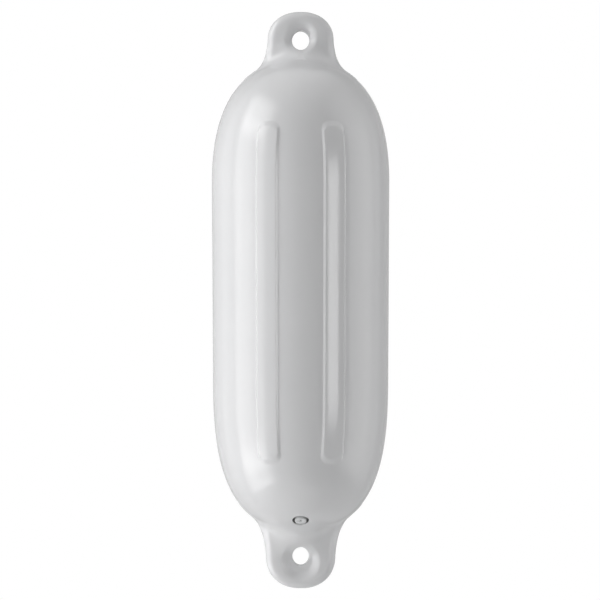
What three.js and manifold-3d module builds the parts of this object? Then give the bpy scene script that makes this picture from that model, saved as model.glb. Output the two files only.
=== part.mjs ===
import * as THREE from 'three';
import { mergeVertices } from 'three/addons/utils/BufferGeometryUtils.js';
import Module from 'manifold-3d';

// A one-piece moulded boat fender that hangs from its upper eye, with an air valve at its lower end.
// Millimetres, +Z up. The origin is the centre of the upper eye's hole, and the valve faces -Y.

// Barrel
const upperShoulderRadius = 83.8;
const lowerShoulderRadius = 82.8;
const barrelLength = 180;
const wallThickness = 3.6;
const crownThickness = 7;

// Domes: height above the shoulder, how far the wall stays upright, and how broad the crown is
const upperDome = { height: 114.6, shoulderRise: 99, crownReach: 33 };
const lowerDome = { height: 151, shoulderRise: 60, crownReach: 82 };

// Eye lugs: a slab with a round head, whose sides flare out into the dome, and a slightly tall hole
const upperLug = {
  holeAboveCrown: 17.9,
  holeWidth: 16.4,
  holeHeight: 18.2,
  width: 62.2,
  headHeight: 27.1,
  thickness: 26,
  neckLength: 26.5,
  neckSpread: 2.4,
  flareLength: 14.4,
  landingRadius: 52.4,
  dishRadius: 15.5,
  dishOffset: 3,
};
const lowerLug = {
  holeAboveCrown: 23.5,
  holeWidth: 15.6,
  holeHeight: 17.2,
  width: 65.4,
  headHeight: 30.5,
  thickness: 26,
  neckLength: 35.4,
  neckSpread: 2.8,
  flareLength: 16.5,
  landingRadius: 57.3,
  dishRadius: 19.5,
  dishOffset: 4.3,
};
const headSquareness = 2.2;
const lugEdgeRadius = 8;
const dishDepth = 3.8;
const dishFloorMargin = 0.4;
const dishOvercut = 0.4;

// Four raised bands along the barrel, two each side of the front and the back, in degrees
const bandAzimuth = 22.7;
const bandWidth = 21.5;
const bandHeight = 1.6;
const bandEndRadius = 8;
const bandTopBelowEye = 80;
const bandLength = 316.4;

// Valve: a plug in a round pocket on the lower dome, square to a line that leans down from -Y
const valveRadiusFromAxis = 41.5;
const valveLean = 58;
const pocketDiameter = 15.5;
const pocketDepth = 6;
const bossDiameter = 24;
const bossDepth = 12.5;
const plugClearance = 0.3;
const plugHeadDiameter = 11;
const plugHeadHeight = 5.6;
const plugCrownHeight = 0.6;
const plugCrownDiameter = 8.8;
const plugStemDiameter = 7;
const plugBarbDiameter = 9.4;
const plugBarbLength = 5;
const needleBoreDiameter = 2;

// Facets
const barrelSides = 64;
const cavitySides = 36;
const domeSteps = 11;
const cavityDomeSteps = 6;
const flareSteps = 6;
const headSteps = 16;
const edgeSteps = 3;
const bandCornerSteps = 4;
const roundSides = 28;

// Places worked out from the sizes above; heights are Z
const upperCrownZ = -upperLug.holeAboveCrown;
const upperShoulderZ = upperCrownZ - upperDome.height;
const lowerShoulderZ = upperShoulderZ - barrelLength;
const lowerCrownZ = lowerShoulderZ - lowerDome.height;
const lowerEyeZ = lowerCrownZ - lowerLug.holeAboveCrown;

const wasm = await Module();
wasm.setup();

function solidFrom(geometry) {
  const bare = geometry.clone();
  bare.deleteAttribute('normal');
  bare.deleteAttribute('uv');
  const merged = mergeVertices(bare);
  const index = merged.index.array;
  const corners = [];
  for (let i = 0; i < index.length; i += 3) {
    const [a, b, c] = [index[i], index[i + 1], index[i + 2]];
    if (a !== b && b !== c && c !== a) corners.push(a, b, c);
  }
  return new wasm.Manifold(new wasm.Mesh({
    numProp: 3,
    vertProperties: new Float32Array(merged.attributes.position.array),
    triVerts: new Uint32Array(corners),
  }));
}

function geometryFrom(solid) {
  const mesh = solid.getMesh();
  const geometry = new THREE.BufferGeometry();
  geometry.setAttribute('position', new THREE.BufferAttribute(new Float32Array(mesh.vertProperties), 3));
  geometry.setIndex(new THREE.BufferAttribute(new Uint32Array(mesh.triVerts), 1));
  geometry.computeVertexNormals();
  return geometry;
}

// A solid of revolution about Z from [radius, z] points that start and end on the axis, or close up
function turned(points, sides) {
  const outline = points.map(([radius, z]) => new THREE.Vector2(radius, z));
  return new THREE.LatheGeometry(outline, sides).rotateX(Math.PI / 2);
}

// One dome's wall as a curve from the shoulder to the crown: x is the radius, y is the height
function domeCurve(shoulderRadius, shoulderZ, dome, up, grow, rise) {
  const radius = shoulderRadius + grow;
  const crownZ = shoulderZ + up * (dome.height + rise);
  return new THREE.CubicBezierCurve(
    new THREE.Vector2(radius, shoulderZ),
    new THREE.Vector2(radius, shoulderZ + up * dome.shoulderRise),
    new THREE.Vector2(dome.crownReach + grow, crownZ),
    new THREE.Vector2(0, crownZ),
  );
}

// The fender's round body with its surface moved out by grow, and its crowns by rise
function bodyOfRevolution(grow, rise, steps, sides) {
  const upper = domeCurve(upperShoulderRadius, upperShoulderZ, upperDome, 1, grow, rise);
  const lower = domeCurve(lowerShoulderRadius, lowerShoulderZ, lowerDome, -1, grow, rise);
  const points = [...lower.getPoints(steps).reverse(), ...upper.getPoints(steps)];
  return solidFrom(turned(points.map((p) => [p.x, p.y]), sides));
}

// The point and the direction of a dome curve where it has a given radius
function pointOnDome(curve, radius) {
  const halvings = 40;
  let low = 0;
  let high = 1;
  for (let i = 0; i < halvings; i += 1) {
    const middle = (low + high) / 2;
    if (curve.getPoint(middle).x > radius) low = middle;
    else high = middle;
  }
  return { point: curve.getPoint(low), direction: curve.getTangent(low) };
}

// Half of a lug's outline from its root inside the dome to the top of its head, with the hole at 0
function lugFlank(lug, curve, eyeZ, up) {
  const { point, direction } = pointOnDome(curve, lug.landingRadius);
  const halfWidth = lug.width / 2;
  const landing = new THREE.Vector2(point.x, up * (point.y - eyeZ));
  const along = new THREE.Vector2(direction.x, up * direction.y).multiplyScalar(lug.flareLength);
  const flare = new THREE.CubicBezierCurve(
    landing,
    landing.clone().add(along),
    new THREE.Vector2(halfWidth + lug.neckSpread, -lug.neckLength),
    new THREE.Vector2(halfWidth, 0),
  );
  const root = landing.clone().sub(new THREE.Vector2(0, 2 * lugEdgeRadius));
  const points = [root, ...flare.getPoints(flareSteps)];
  for (let i = 1; i <= headSteps / 2; i += 1) {
    const turn = (i / headSteps) * Math.PI;
    points.push(new THREE.Vector2(
      halfWidth * Math.cos(turn) ** (2 / headSquareness),
      lug.headHeight * Math.sin(turn) ** (2 / headSquareness),
    ));
  }
  return points;
}

// An upright slab with the lug's outline and rounded edges, centred on the XZ plane
function lugSlab(lug, curve, eyeZ, up) {
  const flank = lugFlank(lug, curve, eyeZ, up);
  const mirrored = flank.slice(0, -1).reverse().map((p) => new THREE.Vector2(-p.x, p.y));
  const outline = [...flank, ...mirrored];
  const depth = lug.thickness - 2 * lugEdgeRadius;
  const geometry = new THREE.ExtrudeGeometry(new THREE.Shape(outline), {
    depth,
    bevelEnabled: true,
    bevelThickness: lugEdgeRadius,
    bevelSize: lugEdgeRadius,
    bevelOffset: -lugEdgeRadius,
    bevelSegments: edgeSteps,
  });
  geometry.translate(0, 0, -depth / 2);
  geometry.rotateX(Math.PI / 2);
  if (up < 0) geometry.rotateY(Math.PI);
  return solidFrom(geometry.translate(0, 0, eyeZ));
}

// What the eye takes out of its lug: the hole, and a shallow dish on each face set towards the tip
function eyeCut(lug, eyeZ, up) {
  const hole = new THREE.CylinderGeometry(1, 1, 2 * lug.thickness, roundSides);
  hole.scale(lug.holeWidth / 2, 1, lug.holeHeight / 2);
  let cut = solidFrom(hole.translate(0, 0, eyeZ));
  const floorRadius = lug.holeHeight / 2 + dishFloorMargin;
  const slope = (lug.dishRadius - floorRadius) / dishDepth;
  const floor = lug.thickness / 2 - dishDepth;
  const top = lug.thickness / 2 + dishOvercut;
  const topRadius = lug.dishRadius + slope * dishOvercut;
  for (const side of [-1, 1]) {
    const dish = turned([[0, floor], [floorRadius, floor], [topRadius, top], [0, top]], roundSides);
    dish.rotateX(side * Math.PI / 2);
    cut = cut.add(solidFrom(dish.translate(0, 0, eyeZ + up * lug.dishOffset)));
  }
  return cut;
}

// A raised band's footprint as a round-cornered plate, standing out radially at an azimuth from -Y
function bandPlate(azimuth) {
  const side = bandWidth / 2;
  const end = bandLength / 2;
  const corner = bandEndRadius;
  const shape = new THREE.Shape();
  shape.moveTo(side, corner - end);
  shape.lineTo(side, end - corner);
  shape.absarc(side - corner, end - corner, corner, 0, Math.PI / 2);
  shape.absarc(corner - side, end - corner, corner, Math.PI / 2, Math.PI);
  shape.lineTo(-side, corner - end);
  shape.absarc(corner - side, corner - end, corner, Math.PI, 1.5 * Math.PI);
  shape.absarc(side - corner, corner - end, corner, 1.5 * Math.PI, 2 * Math.PI);
  const geometry = new THREE.ExtrudeGeometry(shape, {
    depth: upperShoulderRadius,
    bevelEnabled: false,
    curveSegments: bandCornerSteps,
  });
  const startRadius = lowerShoulderRadius / 2;
  geometry.translate(0, -bandTopBelowEye - end, startRadius);
  return solidFrom(geometry.rotateX(Math.PI / 2).rotateZ(THREE.MathUtils.degToRad(azimuth)));
}

// Turns a geometry made about Z, with 0 at the dome's surface, onto the valve's axis
function ontoValveAxis(geometry) {
  const dome = domeCurve(lowerShoulderRadius, lowerShoulderZ, lowerDome, -1, 0, 0);
  const { point } = pointOnDome(dome, valveRadiusFromAxis);
  geometry.rotateX(Math.PI / 2 + THREE.MathUtils.degToRad(valveLean));
  return geometry.translate(0, -point.x, point.y);
}

// A plain round solid about Z between two heights
function roundBar(diameter, low, high) {
  const radius = diameter / 2;
  return turned([[0, low], [radius, low], [radius, high], [0, high]], roundSides);
}

function moulding() {
  const upperCurve = domeCurve(upperShoulderRadius, upperShoulderZ, upperDome, 1, 0, 0);
  const lowerCurve = domeCurve(lowerShoulderRadius, lowerShoulderZ, lowerDome, -1, 0, 0);
  let solid = bodyOfRevolution(0, 0, domeSteps, barrelSides);

  const raised = bodyOfRevolution(bandHeight, 0, domeSteps, barrelSides);
  for (const azimuth of [-bandAzimuth, bandAzimuth, 180 - bandAzimuth, 180 + bandAzimuth]) {
    solid = solid.add(raised.intersect(bandPlate(azimuth)));
  }

  solid = solid.add(lugSlab(upperLug, upperCurve, 0, 1));
  solid = solid.add(lugSlab(lowerLug, lowerCurve, lowerEyeZ, -1));
  const outside = solid;

  const cavity = bodyOfRevolution(-wallThickness, -crownThickness, cavityDomeSteps, cavitySides);
  solid = solid.subtract(cavity);
  solid = solid.subtract(eyeCut(upperLug, 0, 1));
  solid = solid.subtract(eyeCut(lowerLug, lowerEyeZ, -1));

  // The wall is thicker round the valve, and pierced for its stem
  const boss = solidFrom(ontoValveAxis(roundBar(bossDiameter, -bossDepth, pocketDepth)));
  const pocket = solidFrom(ontoValveAxis(roundBar(pocketDiameter, -pocketDepth, pocketDiameter)));
  const stemHoleDiameter = plugStemDiameter + 2 * plugClearance;
  const stemHole = solidFrom(ontoValveAxis(roundBar(stemHoleDiameter, -2 * bossDepth, 0)));
  solid = solid.add(boss.intersect(outside));
  return solid.subtract(pocket).subtract(stemHole);
}

// The valve's plug: a head in the pocket, a stem through the wall and a barb behind it
function valvePlug() {
  const bore = needleBoreDiameter / 2;
  const head = plugHeadDiameter / 2;
  const stem = plugStemDiameter / 2;
  const barb = plugBarbDiameter / 2;
  const crown = plugCrownDiameter / 2;
  const headBottom = plugClearance - pocketDepth;
  const headTop = headBottom + plugHeadHeight;
  const barbTop = -bossDepth - plugClearance;
  const barbBottom = barbTop - plugBarbLength;
  const outline = [
    [bore, barbBottom],
    [stem, barbBottom],
    [barb, barbTop],
    [stem, barbTop],
    [stem, headBottom],
    [head, headBottom],
    [head, headTop],
    [crown, headTop + plugCrownHeight],
    [bore, headTop + plugCrownHeight],
    [bore, barbBottom],
  ];
  return ontoValveAxis(turned(outline, roundSides));
}

const glossyWhite = new THREE.MeshStandardMaterial({ color: 0xe6e8ea, roughness: 0.22, metalness: 0 });
const softWhite = new THREE.MeshStandardMaterial({ color: 0xdcdedf, roughness: 0.45, metalness: 0 });

const fender = new THREE.Group();
const fenderBody = new THREE.Mesh(geometryFrom(moulding()), glossyWhite);
fenderBody.name = 'fender_body';
fender.add(fenderBody);
const plug = new THREE.Mesh(geometryFrom(solidFrom(valvePlug())), softWhite);
plug.name = 'valve_plug';
fender.add(plug);

export default fender;
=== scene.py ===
import math

import bpy
import numpy as np
from mathutils import Matrix, Vector

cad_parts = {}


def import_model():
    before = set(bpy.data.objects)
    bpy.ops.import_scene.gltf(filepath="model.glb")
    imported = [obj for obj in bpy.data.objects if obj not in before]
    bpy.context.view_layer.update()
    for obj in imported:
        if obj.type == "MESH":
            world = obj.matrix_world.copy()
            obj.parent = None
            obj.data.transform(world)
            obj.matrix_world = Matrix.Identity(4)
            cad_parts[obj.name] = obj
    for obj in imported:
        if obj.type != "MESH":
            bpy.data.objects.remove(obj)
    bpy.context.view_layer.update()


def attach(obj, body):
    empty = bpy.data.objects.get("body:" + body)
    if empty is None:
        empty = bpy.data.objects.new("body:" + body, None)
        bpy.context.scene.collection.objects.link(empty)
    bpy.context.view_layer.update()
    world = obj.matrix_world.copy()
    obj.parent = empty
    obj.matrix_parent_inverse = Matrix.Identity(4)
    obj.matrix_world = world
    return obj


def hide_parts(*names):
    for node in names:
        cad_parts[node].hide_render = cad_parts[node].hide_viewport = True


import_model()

# A moulded vinyl boat fender that hangs from its upper eye, with an air valve at its lower end.
# Shapes are worked out in millimetres. The origin is the upper eye, +Z is up and the valve faces -Y.
MM = 0.001

# Round body: a barrel with a slight taper, and a dome at each end drawn as one curve
UPPER_SHOULDER_RADIUS = 83.8
LOWER_SHOULDER_RADIUS = 82.8
UPPER_CROWN_Z = -17.9
UPPER_SHOULDER_Z = -132.5
LOWER_SHOULDER_Z = -312.5
LOWER_CROWN_Z = -463.5
UPPER_SHOULDER_RISE = 99
UPPER_CROWN_REACH = 33
LOWER_SHOULDER_RISE = 60
LOWER_CROWN_REACH = 82

# Eye lugs
UPPER_LUG = {
    "eye_z": 0,
    "up": 1,
    "hole_width": 16.4,
    "hole_height": 18.2,
    "half_width": 31.1,
    "head": 27.1,
    "neck": 26.5,
    "neck_spread": 2.4,
    "flare": 14.4,
    "landing": 52.4,
    "dish": 15.5,
    "dish_offset": 3,
    "dish_floor": 9.5,
}
LOWER_LUG = {
    "eye_z": -487,
    "up": -1,
    "hole_width": 15.6,
    "hole_height": 17.2,
    "half_width": 32.7,
    "head": 30.5,
    "neck": 35.4,
    "neck_spread": 2.8,
    "flare": 16.5,
    "landing": 57.3,
    "dish": 18.3,
    "dish_offset": 5,
    "dish_floor": 10.6,
}
LUG_HALF_THICKNESS = 13
LUG_EDGE = 6.8
HEAD_SQUARENESS = 2.2
HEAD_CROWN = 0.8
NECK_CROWN = 4.6
NECK_CROWN_FROM = 6
NECK_CROWN_OVER = 26
DISH_DEPTH = 4.2
DISH_SOFTNESS = 0.35
DISH_SWELL = 0.2
ROOT_FILLET = 38
CORNER_FILLET = 9
CORNER_FILLET_AT = 40
SILHOUETTE_FILLET = 0.5
SILHOUETTE_HALF_WIDTH = 0.5
SILHOUETTE_FADE = 9
EYE_LIP = 1
EYE_CUTTER_REACH = 14
EYE_SIDES = 96
LIP_TURNS = (0, 14, 28, 42)
FLARE_POINTS = 241
HEAD_POINTS = 261
SEARCH_MARGIN = 2

# Raised bands and the mould's parting line
BAND_AZIMUTH = 22.4
BAND_HALF_WIDTH = 10.3
BAND_HEIGHT = 1.6
BAND_INNER_WALL = 2.05
BAND_OUTER_WALL = 1.15
BAND_END_WALL = 5
BAND_ROUNDING = 0.14
BAND_SINK = 0.35
BAND_SINK_WIDTH = 4.5
BAND_CORNER = 8.5
BAND_TOP = -80
BAND_BOTTOM = -396.4
SEAM_HEIGHT = 0.12
SEAM_HALF_WIDTH = 0.8

# Valve: its place on the lower dome and how far it leans down from -Y
VALVE_RADIUS_FROM_AXIS = 41.5
VALVE_LEAN = 58
POCKET_RADIUS = 7.75
POCKET_DEPTH = 6
POCKET_LIP = 0.7
POCKET_CORNER = 0.5
POCKET_CUTTER_REACH = 4
POCKET_SKIN_SEARCH = 2.5
POCKET_SIDES = 72
PLUG_CLEARANCE = 0.3
PLUG_RADIUS = 5.5
PLUG_HEIGHT = 5.6
PLUG_CROWN = 0.6
PLUG_SHOULDER = 1.1
PLUG_SHOULDER_SINK = 0.2
PLUG_FOOT_BEVEL = 0.4
PLUG_SIDES = 64
PLUG_STEM_RADIUS = 3.5
PLUG_STEM_LENGTH = 6
NEEDLE_RADIUS = 1
NEEDLE_MOUTH = 1.1
NEEDLE_LIP = 0.3
NEEDLE_LIP_DEPTH = 0.7
NEEDLE_END_WALL = 2

# Painted shade down in the gap to the plug's left and right, where the gap's shadow falls: how far past
# the pocket's wall it reaches, the depths where it starts, is full, lasts to and ends, and how far aside
# it starts and is full
RECESS_MARGIN = 1.4
RECESS_SHADE_FROM = 0.5
RECESS_SHADE_FULL = 1.5
RECESS_SHADE_LAST = 12
RECESS_SHADE_END = 16
RECESS_END_FROM = 3
RECESS_END_FULL = 6


def bezier(points, count):
    t = np.linspace(0, 1, count)[:, None]
    a, b, c, d = (np.array(p, float) for p in points)
    return a * (1 - t) ** 3 + 3 * b * (1 - t) ** 2 * t + 3 * c * (1 - t) * t ** 2 + d * t ** 3


CURVE_POINTS = 801
UPPER_DOME = bezier(
    [
        (UPPER_SHOULDER_RADIUS, UPPER_SHOULDER_Z),
        (UPPER_SHOULDER_RADIUS, UPPER_SHOULDER_Z + UPPER_SHOULDER_RISE),
        (UPPER_CROWN_REACH, UPPER_CROWN_Z),
        (0, UPPER_CROWN_Z),
    ],
    CURVE_POINTS,
)
LOWER_DOME = bezier(
    [
        (LOWER_SHOULDER_RADIUS, LOWER_SHOULDER_Z),
        (LOWER_SHOULDER_RADIUS, LOWER_SHOULDER_Z - LOWER_SHOULDER_RISE),
        (LOWER_CROWN_REACH, LOWER_CROWN_Z),
        (0, LOWER_CROWN_Z),
    ],
    CURVE_POINTS,
)


def smooth_step(value):
    v = np.clip(value, 0, 1)
    return v * v * (3 - 2 * v)


def soft_min(a, b, width):
    """The smaller of two values, with the corner between them rounded over that width."""
    h = np.maximum(width - np.abs(a - b), 0) / width
    return np.minimum(a, b) - h ** 3 * width / 6


def soft_max(a, b, width):
    return -soft_min(-a, -b, width)


def distance_to_curve(px, pz, curve, stride=20):
    """Signed distance to an open curve: positive on the right hand of its direction of travel."""
    coarse = curve[::stride]
    gap = (px[:, None] - coarse[None, :, 0]) ** 2 + (pz[:, None] - coarse[None, :, 1]) ** 2
    window = gap.argmin(1)[:, None] * stride + np.arange(-stride, stride + 1)[None, :]
    window = np.clip(window, 0, len(curve) - 1)
    gap = (px[:, None] - curve[window, 0]) ** 2 + (pz[:, None] - curve[window, 1]) ** 2
    nearest = window[np.arange(len(px)), gap.argmin(1)]
    best = np.full(len(px), np.inf)
    signed = np.zeros(len(px))
    for start in (np.maximum(nearest - 1, 0), np.minimum(nearest, len(curve) - 2)):
        a = curve[start]
        along = curve[start + 1] - a
        to_x = px - a[:, 0]
        to_z = pz - a[:, 1]
        t = (to_x * along[:, 0] + to_z * along[:, 1]) / (along ** 2).sum(1)
        t = np.clip(t, 0, 1)
        distance = np.hypot(to_x - t * along[:, 0], to_z - t * along[:, 1])
        side = np.where(along[:, 1] * to_x - along[:, 0] * to_z >= 0, 1, -1)
        signed = np.where(distance < best, distance * side, signed)
        best = np.minimum(best, distance)
    return signed


def lug_outline(lug, dome):
    """Half of a lug's outline in x and height above its eye, from inside the dome to the tip."""
    start = int(np.argmax(dome[:, 0] <= lug["landing"]))
    landing = np.array([dome[start, 0], lug["up"] * (dome[start, 1] - lug["eye_z"])])
    step = dome[start + 1] - dome[start]
    direction = np.array([step[0], lug["up"] * step[1]]) / np.linalg.norm(step)
    flare = bezier(
        [
            landing,
            landing + direction * lug["flare"],
            (lug["half_width"] + lug["neck_spread"], -lug["neck"]),
            (lug["half_width"], 0),
        ],
        FLARE_POINTS,
    )
    turn = np.linspace(0, math.pi / 2, HEAD_POINTS)[1:, None]
    power = 2 / HEAD_SQUARENESS
    head = np.hstack([
        lug["half_width"] * np.clip(np.cos(turn), 0, 1) ** power,
        lug["head"] * np.sin(turn) ** power,
    ])
    root = landing - np.array([0, 2 * LUG_EDGE])
    return np.vstack([root, flare, head])


def face_half_thickness(lug, outline, x, height):
    """Half of a lug's thickness at a place on its face, with the face's crown and its dish."""
    neck_share = smooth_step((NECK_CROWN_FROM - height) / NECK_CROWN_OVER)
    crown = HEAD_CROWN + (NECK_CROWN - HEAD_CROWN) * neck_share
    neck = outline[outline[:, 1] <= 0]
    half_width = np.interp(height, neck[:, 1], neck[:, 0])
    flat = LUG_HALF_THICKNESS - crown * (x / half_width) ** 2
    from_centre = np.hypot(x, height - lug["dish_offset"])
    share = (lug["dish"] - from_centre) / (lug["dish"] - lug["dish_floor"])
    share = np.maximum(share, -1)
    ramp = DISH_DEPTH * share * (1 - DISH_SWELL + DISH_SWELL * share)
    depth = soft_min(soft_max(ramp, 0 * ramp, DISH_SOFTNESS), DISH_DEPTH + 0 * ramp, DISH_SOFTNESS)
    return flat - depth


def end_form(lug, dome, outline):
    """The moulding's skin at one end as a function of x, y, z: negative inside, positive outside."""
    def form(x, y, z):
        side = lug["up"]
        body = distance_to_curve(np.hypot(x, y), side * z, dome * (1, side))
        height = side * (z - lug["eye_z"])
        edge = distance_to_curve(np.abs(x), height, outline) + LUG_EDGE
        face = np.abs(y) - face_half_thickness(lug, outline, x, height) + LUG_EDGE
        slab = np.hypot(np.maximum(edge, 0), np.maximum(face, 0)) - LUG_EDGE
        slab = slab + np.minimum(np.maximum(edge, face), 0)
        fillet = ROOT_FILLET + (CORNER_FILLET - ROOT_FILLET) * smooth_step(np.abs(x) / CORNER_FILLET_AT)
        off_seam = smooth_step((np.abs(y) - SILHOUETTE_HALF_WIDTH) / SILHOUETTE_FADE)
        fillet = SILHOUETTE_FILLET + (fillet - SILHOUETTE_FILLET) * off_seam
        return soft_min(body, slab, fillet) - seam_ridge(y)
    return form


def seam_ridge(y):
    across = np.clip(np.abs(y) / SEAM_HALF_WIDTH, 0, 1)
    return SEAM_HEIGHT * (1 + np.cos(math.pi * across)) / 2


def crossing(form, low, high, halvings=13):
    """Where form(value) turns from negative to positive between low and high, for arrays."""
    below = form(low)
    above = form(high)
    for _ in range(halvings):
        middle = (low + high) / 2
        value = form(middle)
        inside = value < 0
        low = np.where(inside, middle, low)
        below = np.where(inside, value, below)
        high = np.where(inside, high, middle)
        above = np.where(inside, above, value)
    return low + (high - low) * below / (below - above)


def barrel_radius(z):
    """The plain round body's radius at heights between the two crowns."""
    share = (z - LOWER_SHOULDER_Z) / (UPPER_SHOULDER_Z - LOWER_SHOULDER_Z)
    straight = LOWER_SHOULDER_RADIUS + (UPPER_SHOULDER_RADIUS - LOWER_SHOULDER_RADIUS) * share
    upper = np.interp(z, UPPER_DOME[:, 1], UPPER_DOME[:, 0])
    lower = np.interp(-z, -LOWER_DOME[:, 1], LOWER_DOME[:, 0])
    return np.where(z > UPPER_SHOULDER_Z, upper, np.where(z < LOWER_SHOULDER_Z, lower, straight))


def band_rise(azimuth, z, radius):
    """How far the raised bands stand out of the barrel, with a shallow sink beside their outer walls."""
    rise = np.zeros_like(radius)
    half_length = (BAND_TOP - BAND_BOTTOM) / 2
    middle = (BAND_TOP + BAND_BOTTOM) / 2
    for centre in (-BAND_AZIMUTH, BAND_AZIMUTH, 180 - BAND_AZIMUTH, 180 + BAND_AZIMUTH):
        turn = azimuth - math.radians(centre)
        across = radius * np.sin(turn)
        over_side = np.abs(across) - BAND_HALF_WIDTH + BAND_CORNER
        over_end = np.abs(z - middle) - half_length + BAND_CORNER
        outside = np.hypot(np.maximum(over_side, 0), np.maximum(over_end, 0)) - BAND_CORNER
        outside = outside + np.minimum(np.maximum(over_side, over_end), 0)
        outer = across * math.sin(math.radians(2 * centre)) > 0
        wall = np.where(outer, BAND_OUTER_WALL, BAND_INNER_WALL)
        end_share = smooth_step(over_end / BAND_CORNER)
        wall = wall + (BAND_END_WALL - wall) * end_share
        ramp = BAND_HEIGHT * (0.5 - outside / wall)
        from_foot = outside - wall / 2
        sink = np.where(outer, BAND_SINK, 0) * (1 - end_share)
        sink = sink * np.clip(1 - from_foot / BAND_SINK_WIDTH, 0, 1)
        here = soft_max(ramp, -sink, BAND_ROUNDING)
        here = soft_min(here, BAND_HEIGHT + 0 * ramp, BAND_ROUNDING)
        near = (np.cos(turn) > 0) & (from_foot < BAND_SINK_WIDTH)
        rise = np.where(near, here, rise)
    return rise


def spaced(stops):
    """Values through (place, step) stops, with a step that changes evenly from stop to stop."""
    values = [stops[0][0]]
    for (start, first), (end, last) in zip(stops, stops[1:]):
        length = abs(end - start)
        ratio = last / first
        if abs(ratio - 1) < 1e-6:
            count = max(1, math.ceil(length / first))
            share = np.arange(1, count + 1) / count
        else:
            count = max(1, math.ceil(length * math.log(ratio) / (last - first)))
            share = (ratio ** (np.arange(1, count + 1) / count) - 1) / (ratio - 1)
        values.extend(start + (end - start) * share)
    return np.array(values)


# Where the skin's lines run: dense at the bands' walls, the seam, the crowns and the lugs' heads
QUARTER_LINES = spaced([
    (0, 2.4), (13.2, 2), (14.4, 0.22), (16.3, 0.2), (17.6, 2), (27.6, 2),
    (28.8, 0.18), (30.3, 0.18), (32, 1.2), (34, 2), (80, 2.1), (88, 1.6), (89.2, 0.5), (90, 0.3),
])
LEVELS = spaced([
    (27.1, 0.06), (20, 1.7), (8, 1.9), (-10, 1.7), (-17, 0.7), (-18.4, 0.3), (-22, 0.4),
    (-30, 0.9), (-60, 1.9), (-74, 2.4), (-77, 0.8), (-90, 0.9), (-96, 5), (-132, 6), (-312, 7),
    (-350, 5), (-382, 4), (-386, 0.9), (-400, 0.8), (-410, 2), (-445, 1.4), (-456, 0.8),
    (-462.4, 0.32), (-464.4, 0.4), (-471, 1.6), (-508, 1.9), (-517.4, 0.06),
])
UPPER_LUG_REACH = -75
LOWER_LUG_REACH = -403
LUG_WARP = 2.3
LUG_WARP_OVER = 45


def line_spread(z):
    """How far the lines crowd towards the lugs' edges at a height, 1 on the barrel."""
    upper = smooth_step((z - UPPER_LUG_REACH) / LUG_WARP_OVER)
    lower = smooth_step((LOWER_LUG_REACH - z) / LUG_WARP_OVER)
    return 1 + (LUG_WARP - 1) * np.maximum(upper, lower)


def skin_points(forms):
    """Every line of the skin at every level, as an array of levels by lines by x, y, z."""
    quarter = np.radians(QUARTER_LINES)
    half = np.concatenate([quarter, math.pi - quarter[-2::-1]])
    round_the_body = np.concatenate([half, math.pi + half[1:]])
    azimuth, z = np.meshgrid(round_the_body, LEVELS)
    spread = line_spread(z)
    sine = spread * np.sin(azimuth)
    cosine = np.cos(azimuth)
    length = np.hypot(sine, cosine)
    sine, cosine = sine / length, cosine / length
    radius = barrel_radius(z)
    radius = radius + band_rise(azimuth, z, radius) + seam_ridge(radius * cosine)
    for form, part in forms:
        chosen = part(z)
        s, c, height = sine[chosen], cosine[chosen], z[chosen]
        radius[chosen] = crossing(
            lambda r: form(r * s, -r * c, height),
            np.zeros_like(height),
            np.full_like(height, UPPER_SHOULDER_RADIUS + SEARCH_MARGIN),
        )
    radius[0] = 0
    radius[-1] = 0
    return np.stack([radius * sine, -radius * cosine, z], axis=-1)


MERGE_GAP = 1e-6
BODY_SMOOTH_ANGLE = 32
PLUG_SMOOTH_ANGLE = 35


def edit(obj):
    bpy.ops.object.select_all(action="DESELECT")
    obj.select_set(True)
    bpy.context.view_layer.objects.active = obj
    bpy.ops.object.mode_set(mode="EDIT")
    bpy.ops.mesh.select_all(action="SELECT")


def close_up(obj):
    """Merges doubles and turns every face outwards."""
    edit(obj)
    bpy.ops.mesh.remove_doubles(threshold=MERGE_GAP)
    bpy.ops.mesh.normals_make_consistent(inside=False)
    bpy.ops.object.mode_set(mode="OBJECT")


def positions(obj):
    flat = np.empty(len(obj.data.vertices) * 3)
    obj.data.vertices.foreach_get("co", flat)
    return flat.reshape(-1, 3)


def move_to(obj, places):
    obj.data.vertices.foreach_set("co", np.ascontiguousarray(places, float).ravel())
    obj.data.update()


def rolled_skin(forms):
    """A grid rolled into a closed skin, each of its points pressed onto the moulding's form."""
    points = skin_points(forms)
    levels, lines = points.shape[:2]
    bpy.ops.object.select_all(action="DESELECT")
    bpy.ops.mesh.primitive_grid_add(x_subdivisions=lines - 1, y_subdivisions=levels - 1, size=2)
    skin = bpy.context.object
    skin.name = "fender_skin"
    flat = positions(skin)
    line = np.rint((flat[:, 0] + 1) / 2 * (lines - 1)).astype(int)
    level = np.rint((1 - flat[:, 1]) / 2 * (levels - 1)).astype(int)
    move_to(skin, points[level, line] * MM)
    close_up(skin)
    return skin


def turned(name, outline, steps):
    """A closed solid of revolution about Z from (radius, height) points that start and end on Z."""
    mesh = bpy.data.meshes.new(name)
    corners = [(r * MM, 0, h * MM) for r, h in outline]
    mesh.from_pydata(corners, [(i, i + 1) for i in range(len(corners) - 1)], [])
    obj = bpy.data.objects.new(name, mesh)
    bpy.context.collection.objects.link(obj)
    edit(obj)
    bpy.ops.mesh.spin(steps=steps, angle=2 * math.pi, center=(0, 0, 0), axis=(0, 0, 1))
    bpy.ops.object.mode_set(mode="OBJECT")
    close_up(obj)
    return obj


def lip_outline(radius, top, lip, reach):
    """A hole's wall up to a mouth at height top, rolled outwards over a lip and on past the skin."""
    turn = np.radians(LIP_TURNS)
    arc = [(radius + lip * (1 - math.cos(a)), top - lip * (1 - math.sin(a))) for a in turn]
    flare = turn[-1]
    arc.append((arc[-1][0] + reach * math.sin(flare), arc[-1][1] + reach * math.cos(flare)))
    return arc


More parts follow.
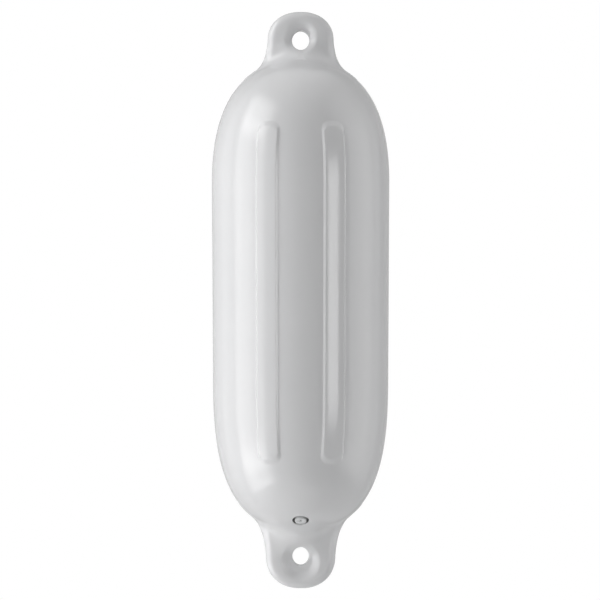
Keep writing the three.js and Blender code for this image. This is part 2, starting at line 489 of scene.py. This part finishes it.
def skin_height(form, place, radius, angle, low, high, stretch=1):
    """How far along a hole's axis the skin lies at a radius round it, for each angle."""
    turn = np.array(place.to_3x3())
    rim = np.stack([radius * np.cos(angle), stretch * radius * np.sin(angle), 0 * angle], axis=-1)
    start = rim @ turn.T + np.array(place.translation)
    axis = turn[:, 2]

    def along(height):
        here = start + height[:, None] * axis
        return form(here[:, 0], here[:, 1], here[:, 2])

    return crossing(along, np.full_like(angle, low), np.full_like(angle, high))


def put_in_place(obj, place, local):
    """Sets an object's points from places in a hole's own frame."""
    world = local @ np.array(place.to_3x3()).T + np.array(place.translation)
    move_to(obj, world * MM)


def eye_cutter(lug, form):
    """What an eye takes out of its lug: the hole, with a lip that follows each face."""
    rim = LUG_HALF_THICKNESS - DISH_DEPTH
    radius = lug["hole_width"] / 2
    stretch = lug["hole_height"] / lug["hole_width"]
    front = lip_outline(radius, rim, EYE_LIP, EYE_CUTTER_REACH)
    back = [(r, -h) for r, h in reversed(front)]
    outline = [(0, back[0][1]), *back, *front, (0, front[-1][1])]
    cutter = turned("eye_cutter", outline, EYE_SIDES)
    local = positions(cutter) / MM
    angle = np.arctan2(local[:, 1], local[:, 0])
    place = Matrix.Translation((0, 0, lug["eye_z"])) @ Matrix.Rotation(math.pi / 2, 4, "X")
    limit = LUG_HALF_THICKNESS + SEARCH_MARGIN
    skin = skin_height(form, place, radius + EYE_LIP / 2, angle, 0, limit, stretch)
    local[:, 1] *= stretch
    local[:, 2] += np.sign(local[:, 2]) * (skin - rim)
    put_in_place(cutter, place, local)
    return cutter


def valve_place():
    """The valve's frame, in millimetres: its origin on the dome and +Z along its axis, outwards."""
    index = int(np.argmax(LOWER_DOME[:, 0] <= VALVE_RADIUS_FROM_AXIS))
    radius, z = LOWER_DOME[index]
    turn = Matrix.Rotation(math.pi / 2 + math.radians(VALVE_LEAN), 4, "X")
    return Matrix.Translation((0, -radius, z)) @ turn


def pocket_cutter(form):
    """What the valve takes out of the dome: a round pocket with a lip that follows the dome."""
    mouth = lip_outline(POCKET_RADIUS, 0, POCKET_LIP, POCKET_CUTTER_REACH)
    floor = -POCKET_DEPTH
    outline = [
        (0, floor),
        (POCKET_RADIUS - POCKET_CORNER, floor),
        (POCKET_RADIUS, floor + POCKET_CORNER),
        *mouth,
        (0, mouth[-1][1]),
    ]
    cutter = turned("pocket_cutter", outline, POCKET_SIDES)
    local = positions(cutter) / MM
    angle = np.arctan2(local[:, 1], local[:, 0])
    place = valve_place()
    search = POCKET_SKIN_SEARCH
    skin = skin_height(form, place, POCKET_RADIUS + POCKET_LIP / 2, angle, -search, search)
    local[:, 2] += np.where(local[:, 2] > -POCKET_LIP - 0.01, skin, 0)
    put_in_place(cutter, place, local)
    return cutter


def cut(obj, cutter):
    modifier = obj.modifiers.new("cut", "BOOLEAN")
    modifier.operation = "DIFFERENCE"
    modifier.solver = "EXACT"
    modifier.object = cutter
    bpy.ops.object.select_all(action="DESELECT")
    obj.select_set(True)
    bpy.context.view_layer.objects.active = obj
    bpy.ops.object.modifier_apply(modifier=modifier.name)
    bpy.data.objects.remove(cutter, do_unlink=True)


def smooth(obj, degrees):
    bpy.ops.object.select_all(action="DESELECT")
    obj.select_set(True)
    bpy.context.view_layer.objects.active = obj
    bpy.ops.object.shade_smooth_by_angle(angle=math.radians(degrees))


def fender_skin():
    upper_form = end_form(UPPER_LUG, UPPER_DOME, lug_outline(UPPER_LUG, UPPER_DOME))
    lower_form = end_form(LOWER_LUG, LOWER_DOME, lug_outline(LOWER_LUG, LOWER_DOME))
    skin = rolled_skin([
        (upper_form, lambda z: z > UPPER_LUG_REACH),
        (lower_form, lambda z: z < LOWER_LUG_REACH),
    ])
    cut(skin, eye_cutter(UPPER_LUG, upper_form))
    cut(skin, eye_cutter(LOWER_LUG, lower_form))
    cut(skin, pocket_cutter(lower_form))
    smooth(skin, BODY_SMOOTH_ANGLE)
    return skin


def valve_plug():
    """The plug's head with its soft crown and needle hole, and the stem behind it."""
    top = PLUG_CLEARANCE - POCKET_DEPTH + PLUG_HEIGHT
    bottom = PLUG_CLEARANCE - POCKET_DEPTH
    outline = [
        (0, bottom - PLUG_STEM_LENGTH),
        (PLUG_STEM_RADIUS, bottom - PLUG_STEM_LENGTH),
        (PLUG_STEM_RADIUS, bottom),
        (PLUG_RADIUS - PLUG_FOOT_BEVEL, bottom),
        (PLUG_RADIUS, bottom + PLUG_FOOT_BEVEL),
    ]
    shoulder_rise = PLUG_CROWN + PLUG_SHOULDER_SINK
    for a in np.radians(np.linspace(0, 90, 6)):
        outline.append((
            PLUG_RADIUS - PLUG_SHOULDER + PLUG_SHOULDER * math.cos(a),
            top - PLUG_SHOULDER_SINK + shoulder_rise * math.sin(a),
        ))
    crown = top + PLUG_CROWN
    needle_end = bottom - PLUG_STEM_LENGTH + NEEDLE_END_WALL
    outline += [
        (NEEDLE_RADIUS + NEEDLE_MOUTH, crown),
        (NEEDLE_RADIUS + NEEDLE_LIP, crown - NEEDLE_LIP),
        (NEEDLE_RADIUS, crown - NEEDLE_LIP_DEPTH),
        (NEEDLE_RADIUS, needle_end),
        (0, needle_end),
    ]
    plug = turned("plug", outline, PLUG_SIDES)
    put_in_place(plug, valve_place(), positions(plug) / MM)
    smooth(plug, PLUG_SMOOTH_ANGLE)
    return plug


def principled(name):
    material = bpy.data.materials.new(name)
    material.use_nodes = True
    return material, material.node_tree.nodes["Principled BSDF"]


def socket(group, name, kind, direction, value=None):
    made = group.interface.new_socket(name=name, in_out=direction, socket_type=kind)
    if value is not None:
        made.default_value = value


def noise(nodes, links, vector, size, detail):
    """A noise pattern whose features are about that many metres across."""
    node = nodes.new("ShaderNodeTexNoise")
    node.inputs["Detail"].default_value = detail
    links.new(vector, node.inputs["Vector"])
    links.new(size, node.inputs["Scale"])
    return node.outputs["Fac"]


def moulded_surface():
    """Soft moulded plastic: a cloudy tone, a gloss that varies, and the fine ripple of its skin."""
    group = bpy.data.node_groups.new("moulded_surface", "ShaderNodeTree")
    socket(group, "Pale Tone", "NodeSocketColor", "INPUT", (0.84, 0.84, 0.84, 1))
    socket(group, "Deep Tone", "NodeSocketColor", "INPUT", (0.8, 0.8, 0.8, 1))
    socket(group, "Clouds per Metre", "NodeSocketFloat", "INPUT", 14)
    socket(group, "Least Roughness", "NodeSocketFloat", "INPUT", 0.12)
    socket(group, "Most Roughness", "NodeSocketFloat", "INPUT", 0.2)
    socket(group, "Waves per Metre", "NodeSocketFloat", "INPUT", 30)
    socket(group, "Wave Height", "NodeSocketFloat", "INPUT", 0.00003)
    socket(group, "Grains per Metre", "NodeSocketFloat", "INPUT", 700)
    socket(group, "Grain Height", "NodeSocketFloat", "INPUT", 0.000003)
    socket(group, "Tone", "NodeSocketColor", "OUTPUT")
    socket(group, "Roughness", "NodeSocketFloat", "OUTPUT")
    socket(group, "Normal", "NodeSocketVector", "OUTPUT")
    nodes, links = group.nodes, group.links
    given = nodes.new("NodeGroupInput")
    result = nodes.new("NodeGroupOutput")
    place = nodes.new("ShaderNodeTexCoord").outputs["Object"]

    clouds = noise(nodes, links, place, given.outputs["Clouds per Metre"], 3)
    spread = nodes.new("ShaderNodeMapRange")
    spread.inputs["From Min"].default_value = 0.35
    spread.inputs["From Max"].default_value = 0.65
    links.new(clouds, spread.inputs["Value"])
    tone = nodes.new("ShaderNodeMix")
    tone.data_type = "RGBA"
    links.new(spread.outputs["Result"], tone.inputs["Factor"])
    links.new(given.outputs["Pale Tone"], tone.inputs["A"])
    links.new(given.outputs["Deep Tone"], tone.inputs["B"])
    links.new(tone.outputs["Result"], result.inputs["Tone"])

    waves = noise(nodes, links, place, given.outputs["Waves per Metre"], 1)
    gloss = nodes.new("ShaderNodeMapRange")
    gloss.inputs["From Min"].default_value = 0.3
    gloss.inputs["From Max"].default_value = 0.7
    links.new(waves, gloss.inputs["Value"])
    links.new(given.outputs["Least Roughness"], gloss.inputs["To Min"])
    links.new(given.outputs["Most Roughness"], gloss.inputs["To Max"])
    links.new(gloss.outputs["Result"], result.inputs["Roughness"])

    ripple = nodes.new("ShaderNodeBump")
    links.new(waves, ripple.inputs["Height"])
    links.new(given.outputs["Wave Height"], ripple.inputs["Distance"])
    grains = noise(nodes, links, place, given.outputs["Grains per Metre"], 2)
    peel = nodes.new("ShaderNodeBump")
    links.new(grains, peel.inputs["Height"])
    links.new(given.outputs["Grain Height"], peel.inputs["Distance"])
    links.new(ripple.outputs["Normal"], peel.inputs["Normal"])
    links.new(peel.outputs["Normal"], result.inputs["Normal"])
    return group


def rising(nodes, links, value, nothing, full):
    """0 to 1 as a value goes from one mark to another, in either direction."""
    node = nodes.new("ShaderNodeMapRange")
    node.interpolation_type = "SMOOTHSTEP"
    node.inputs["From Min"].default_value = nothing
    node.inputs["From Max"].default_value = full
    links.new(value, node.inputs["Value"])
    return node.outputs["Result"]


def product(nodes, links, first, second):
    node = nodes.new("ShaderNodeMath")
    node.operation = "MULTIPLY"
    links.new(first, node.inputs[0])
    links.new(second, node.inputs[1])
    return node.outputs[0]


def valve_recess_painted_shade():
    """Where painted shade darkens the valve's recess: 0 at the skin and outside, 1 down in the gap at
    its two ends.
    """
    group = bpy.data.node_groups.new("valve_recess_painted_shade", "ShaderNodeTree")
    socket(group, "Shade", "NodeSocketFloat", "OUTPUT")
    nodes, links = group.nodes, group.links
    result = nodes.new("NodeGroupOutput")
    place = valve_place()
    local = nodes.new("ShaderNodeMapping")
    local.vector_type = "TEXTURE"
    local.inputs["Location"].default_value = place.translation * MM
    local.inputs["Rotation"].default_value = place.to_euler()
    links.new(nodes.new("ShaderNodeTexCoord").outputs["Object"], local.inputs["Vector"])
    split = nodes.new("ShaderNodeSeparateXYZ")
    links.new(local.outputs["Vector"], split.inputs[0])
    flat = nodes.new("ShaderNodeCombineXYZ")
    links.new(split.outputs["X"], flat.inputs["X"])
    links.new(split.outputs["Y"], flat.inputs["Y"])
    radius = nodes.new("ShaderNodeVectorMath")
    radius.operation = "LENGTH"
    links.new(flat.outputs[0], radius.inputs[0])
    reach = POCKET_RADIUS + RECESS_MARGIN
    inside = rising(nodes, links, radius.outputs["Value"], reach * MM, POCKET_RADIUS * MM)
    height = split.outputs["Z"]
    below = rising(nodes, links, height, -RECESS_SHADE_FROM * MM, -RECESS_SHADE_FULL * MM)
    aside = nodes.new("ShaderNodeMath")
    aside.operation = "ABSOLUTE"
    links.new(split.outputs["X"], aside.inputs[0])
    at_ends = rising(nodes, links, aside.outputs[0], RECESS_END_FROM * MM, RECESS_END_FULL * MM)
    not_beyond = rising(nodes, links, height, -RECESS_SHADE_END * MM, -RECESS_SHADE_LAST * MM)
    in_gap = product(nodes, links, product(nodes, links, inside, below), not_beyond)
    # Painted shade: 1 only deep in the gap and at its ends, where the gap's shadow falls
    links.new(product(nodes, links, in_gap, at_ends), result.inputs["Shade"])
    return group


def tone_with_painted_shade(material, recess_shade_group, tone, painted_shade_colour):
    """The tone, turning to a dark grey of painted shade down in the valve's recess, where the gap's
    shadow falls.
    """
    nodes, links = material.node_tree.nodes, material.node_tree.links
    node = nodes.new("ShaderNodeGroup")
    node.node_tree = recess_shade_group
    mix = nodes.new("ShaderNodeMix")
    mix.data_type = "RGBA"
    mix.inputs["B"].default_value = painted_shade_colour
    # Painted shade: the base colour is mixed towards the dark grey by the recess mask
    links.new(node.outputs["Shade"], mix.inputs["Factor"])
    links.new(tone, mix.inputs["A"])
    return mix.outputs["Result"]


def surface(material, shader, group, values):
    """Puts the moulded surface in a material with its own values, and returns its tone."""
    node = material.node_tree.nodes.new("ShaderNodeGroup")
    node.node_tree = group
    for name, value in values.items():
        node.inputs[name].default_value = value
    links = material.node_tree.links
    links.new(node.outputs["Roughness"], shader.inputs["Roughness"])
    links.new(node.outputs["Normal"], shader.inputs["Normal"])
    return node.outputs["Tone"]


def vinyl(group, recess_shade_group):
    material, shader = principled("white_vinyl_gloss")
    tone = surface(material, shader, group, {
        "Pale Tone": (0.826, 0.828, 0.837, 1),
        "Deep Tone": (0.811, 0.814, 0.824, 1),
        "Least Roughness": 0.09,
        "Most Roughness": 0.13,
    })
    # Painted shade: the vinyl turns dark grey down in the valve's gap, where its shadow falls
    tone = tone_with_painted_shade(material, recess_shade_group, tone, (0.2, 0.2, 0.2, 1))
    material.node_tree.links.new(tone, shader.inputs["Base Color"])
    shader.inputs["IOR"].default_value = 1.54
    return material


def rubber(group, recess_shade_group):
    material, shader = principled("white_valve_rubber")
    tone = surface(material, shader, group, {
        "Pale Tone": (0.79, 0.8, 0.805, 1),
        "Deep Tone": (0.74, 0.75, 0.755, 1),
        "Clouds per Metre": 160,
        "Least Roughness": 0.36,
        "Most Roughness": 0.48,
        "Waves per Metre": 300,
        "Wave Height": 0.00001,
        "Grains per Metre": 2400,
        "Grain Height": 0.000003,
    })
    # Painted shade: the plug's sides turn dark grey down in the valve's gap, where its shadow falls
    tone = tone_with_painted_shade(material, recess_shade_group, tone, (0.3, 0.3, 0.3, 1))
    material.node_tree.links.new(tone, shader.inputs["Base Color"])
    return material


CAMERA_DISTANCE = 6
SENSOR_WIDTH = 36
VIEW_WIDTH = 0.5676
VIEW_MIDDLE_X = -0.0006
VIEW_MIDDLE_Z = -0.2451


def camera():
    data = bpy.data.cameras.new("camera")
    data.sensor_width = SENSOR_WIDTH
    data.lens = SENSOR_WIDTH * CAMERA_DISTANCE / VIEW_WIDTH
    obj = bpy.data.objects.new("camera", data)
    obj.location = (VIEW_MIDDLE_X, -CAMERA_DISTANCE, VIEW_MIDDLE_Z)
    obj.rotation_euler = (math.pi / 2, 0, 0)
    bpy.context.collection.objects.link(obj)
    bpy.context.scene.camera = obj


def seen_directly(nodes, links):
    """1 for what the camera, a reflection or a clear piece sees, and 0 for the light on things."""
    path = nodes.new("ShaderNodeLightPath")
    mirrored = nodes.new("ShaderNodeMath")
    mirrored.operation = "MAXIMUM"
    links.new(path.outputs["Is Camera Ray"], mirrored.inputs[0])
    links.new(path.outputs["Is Glossy Ray"], mirrored.inputs[1])
    seen = nodes.new("ShaderNodeMath")
    seen.operation = "MAXIMUM"
    links.new(mirrored.outputs[0], seen.inputs[0])
    links.new(path.outputs["Is Transmission Ray"], seen.inputs[1])
    return seen.outputs[0]


AMBIENT = 0.01


def world():
    """White all round to the eye, and a dim plain fill as light."""
    scene_world = bpy.data.worlds.new("studio")
    bpy.context.scene.world = scene_world
    scene_world.use_nodes = True
    nodes = scene_world.node_tree.nodes
    links = scene_world.node_tree.links
    background = nodes["Background"]
    level = nodes.new("ShaderNodeMapRange")
    level.inputs["To Min"].default_value = AMBIENT
    level.inputs["To Max"].default_value = 1
    links.new(seen_directly(nodes, links), level.inputs["Value"])
    links.new(level.outputs["Result"], background.inputs["Strength"])
    background.inputs["Color"].default_value = (1, 1, 1, 1)


FLOOR_Z = -1.5
FLOOR_RADIUS = 2.6
FLOOR_FADE_FROM = 1.4
FLOOR_FADE_TO = 2.5
FLOOR_GLOW = 0.4


def floor():
    """A pale floor below the hanging fender, clear at its edge and from underneath."""
    bpy.ops.object.select_all(action="DESELECT")
    bpy.ops.mesh.primitive_circle_add(
        vertices=96, radius=FLOOR_RADIUS, fill_type="NGON", location=(0, 0, FLOOR_Z))
    disc = bpy.context.object
    disc.name = "floor"
    material, shader = principled("pale_floor")
    nodes, links = material.node_tree.nodes, material.node_tree.links
    shader.inputs["Base Color"].default_value = (0.88, 0.88, 0.88, 1)
    shader.inputs["Roughness"].default_value = 0.9
    shader.inputs["Emission Color"].default_value = (1, 1, 1, 1)
    glow = nodes.new("ShaderNodeMath")
    glow.operation = "MULTIPLY"
    glow.inputs[1].default_value = FLOOR_GLOW
    links.new(seen_directly(nodes, links), glow.inputs[0])
    links.new(glow.outputs[0], shader.inputs["Emission Strength"])
    centre = nodes.new("ShaderNodeTexCoord")
    length = nodes.new("ShaderNodeVectorMath")
    length.operation = "LENGTH"
    links.new(centre.outputs["Object"], length.inputs[0])
    fade = rising(nodes, links, length.outputs["Value"], FLOOR_FADE_TO, FLOOR_FADE_FROM)
    upper_side = nodes.new("ShaderNodeMath")
    upper_side.operation = "SUBTRACT"
    upper_side.inputs[0].default_value = 1
    links.new(nodes.new("ShaderNodeNewGeometry").outputs["Backfacing"], upper_side.inputs[1])
    seen = product(nodes, links, fade, upper_side.outputs[0])
    links.new(seen, shader.inputs["Alpha"])
    disc.data.materials.append(material)


LAMP_AIM = Vector((0, 0, VIEW_MIDDLE_Z))


def studio_place(azimuth, elevation, distance):
    """A place round the fender's middle and the turn that faces it. Azimuth 0 is in front."""
    a, e = math.radians(azimuth), math.radians(elevation)
    direction = Vector((math.sin(a) * math.cos(e), -math.cos(a) * math.cos(e), math.sin(e)))
    return LAMP_AIM + direction * distance, direction.to_track_quat("Z", "Y").to_euler()


def softbox(name, azimuth, elevation, distance, width, height, strength):
    data = bpy.data.lights.new(name, "AREA")
    data.shape = "RECTANGLE"
    data.size = width
    data.size_y = height
    data.energy = strength
    obj = bpy.data.objects.new(name, data)
    obj.location, obj.rotation_euler = studio_place(azimuth, elevation, distance)
    bpy.context.collection.objects.link(obj)


def card(name, azimuth, elevation, distance, width, height):
    """A flat card that faces the fender and that the camera doesn't see."""
    place, turn = studio_place(azimuth, elevation, distance)
    bpy.ops.object.select_all(action="DESELECT")
    bpy.ops.mesh.primitive_plane_add(size=1, location=place, rotation=turn)
    obj = bpy.context.object
    obj.name = name
    obj.scale = (width, height, 1)
    bpy.ops.object.transform_apply(location=False, rotation=False, scale=True)
    obj.visible_camera = False
    obj.visible_shadow = False
    return obj


def edge_fade(nodes, links, coordinate, half, soft):
    """1 inside a card and 0 at its edge, with a soft margin, across one of its directions."""
    out = nodes.new("ShaderNodeMath")
    out.operation = "ABSOLUTE"
    links.new(coordinate, out.inputs[0])
    return rising(nodes, links, out.outputs[0], half, half - soft)


def diffuser(name, azimuth, elevation, distance, width, height, soft_x, soft_y, strength):
    """A lit diffuser panel, evenly bright in the middle and soft at its edges."""
    obj = card(name, azimuth, elevation, distance, width, height)
    material, shader = principled(name)
    nodes, links = material.node_tree.nodes, material.node_tree.links
    place = nodes.new("ShaderNodeTexCoord")
    split = nodes.new("ShaderNodeSeparateXYZ")
    links.new(place.outputs["Object"], split.inputs[0])
    across = edge_fade(nodes, links, split.outputs["X"], width / 2, soft_x)
    along = edge_fade(nodes, links, split.outputs["Y"], height / 2, soft_y)
    level = nodes.new("ShaderNodeMath")
    level.operation = "MULTIPLY"
    level.inputs[1].default_value = strength
    links.new(product(nodes, links, across, along), level.inputs[0])
    glow = nodes.new("ShaderNodeEmission")
    links.new(level.outputs[0], glow.inputs["Strength"])
    clear = nodes.new("ShaderNodeBsdfTransparent")
    lit = nodes.new("ShaderNodeAddShader")
    links.new(glow.outputs[0], lit.inputs[0])
    links.new(clear.outputs[0], lit.inputs[1])
    links.new(lit.outputs[0], nodes["Material Output"].inputs["Surface"])
    nodes.remove(shader)
    obj.data.materials.append(material)


def dark_card():
    """A card behind the fender, darker than the white around it, that only reflections see."""
    obj = card("dark_card", 180, 0, 1.9, 5.6, 5.6)
    material, shader = principled("dark_card")
    shader.inputs["Base Color"].default_value = (0.03, 0.03, 0.03, 1)
    shader.inputs["Roughness"].default_value = 1
    shader.inputs["Emission Color"].default_value = (1, 1, 1, 1)
    shader.inputs["Emission Strength"].default_value = 0.5
    obj.data.materials.append(material)
    obj.visible_diffuse = False
    obj.visible_transmission = False


bpy.context.scene.view_settings.view_transform = "Standard"

camera()
world()
floor()
# Panels: azimuth, elevation, distance, width, height, soft margins across and along, strength
diffuser("left_diffuser", -70, 0, 1.7, 1.7, 2.5, 0.3, 0.4, 1.9)
diffuser("left_upper_diffuser", -72, 38, 1.7, 1.7, 1.3, 0.5, 0.5, 3)
diffuser("left_lower_diffuser", -72, -34, 1.7, 1.7, 1.3, 0.5, 0.5, 2)
diffuser("front_strip", 41.6, 0, 1.6, 0.44, 1.15, 0.07, 0.45, 4.1)
diffuser("right_diffuser", 82, 0, 1.7, 2, 2.5, 0.7, 0.5, 1.1)
diffuser("right_upper_diffuser", 75, 42, 1.7, 1.8, 1.4, 0.7, 0.6, 0.75)
diffuser("top_diffuser", 0, 88, 1.6, 2.4, 2.4, 1, 1, 0.8)
diffuser("front_upper_fill", 5, 56, 1.5, 1.6, 0.9, 0.7, 0.4, 0.38)
diffuser("front_lower_fill", 5, -56, 1.4, 1.6, 0.9, 0.7, 0.4, 0.45)
softbox("back_fill", 180, 0, 2, 0.6, 1.8, 6)
dark_card()

plastic = moulded_surface()
# Painted shade for the valve's gap, shared by the vinyl and the plug's rubber
recess_shade_group = valve_recess_painted_shade()

body = fender_skin()
body.data.materials.clear()
body.data.materials.append(vinyl(plastic, recess_shade_group))
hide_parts("fender_body")
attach(body, "root")

plug = valve_plug()
plug.data.materials.clear()
plug.data.materials.append(rubber(plastic, recess_shade_group))
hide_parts("valve_plug")
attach(plug, "root")
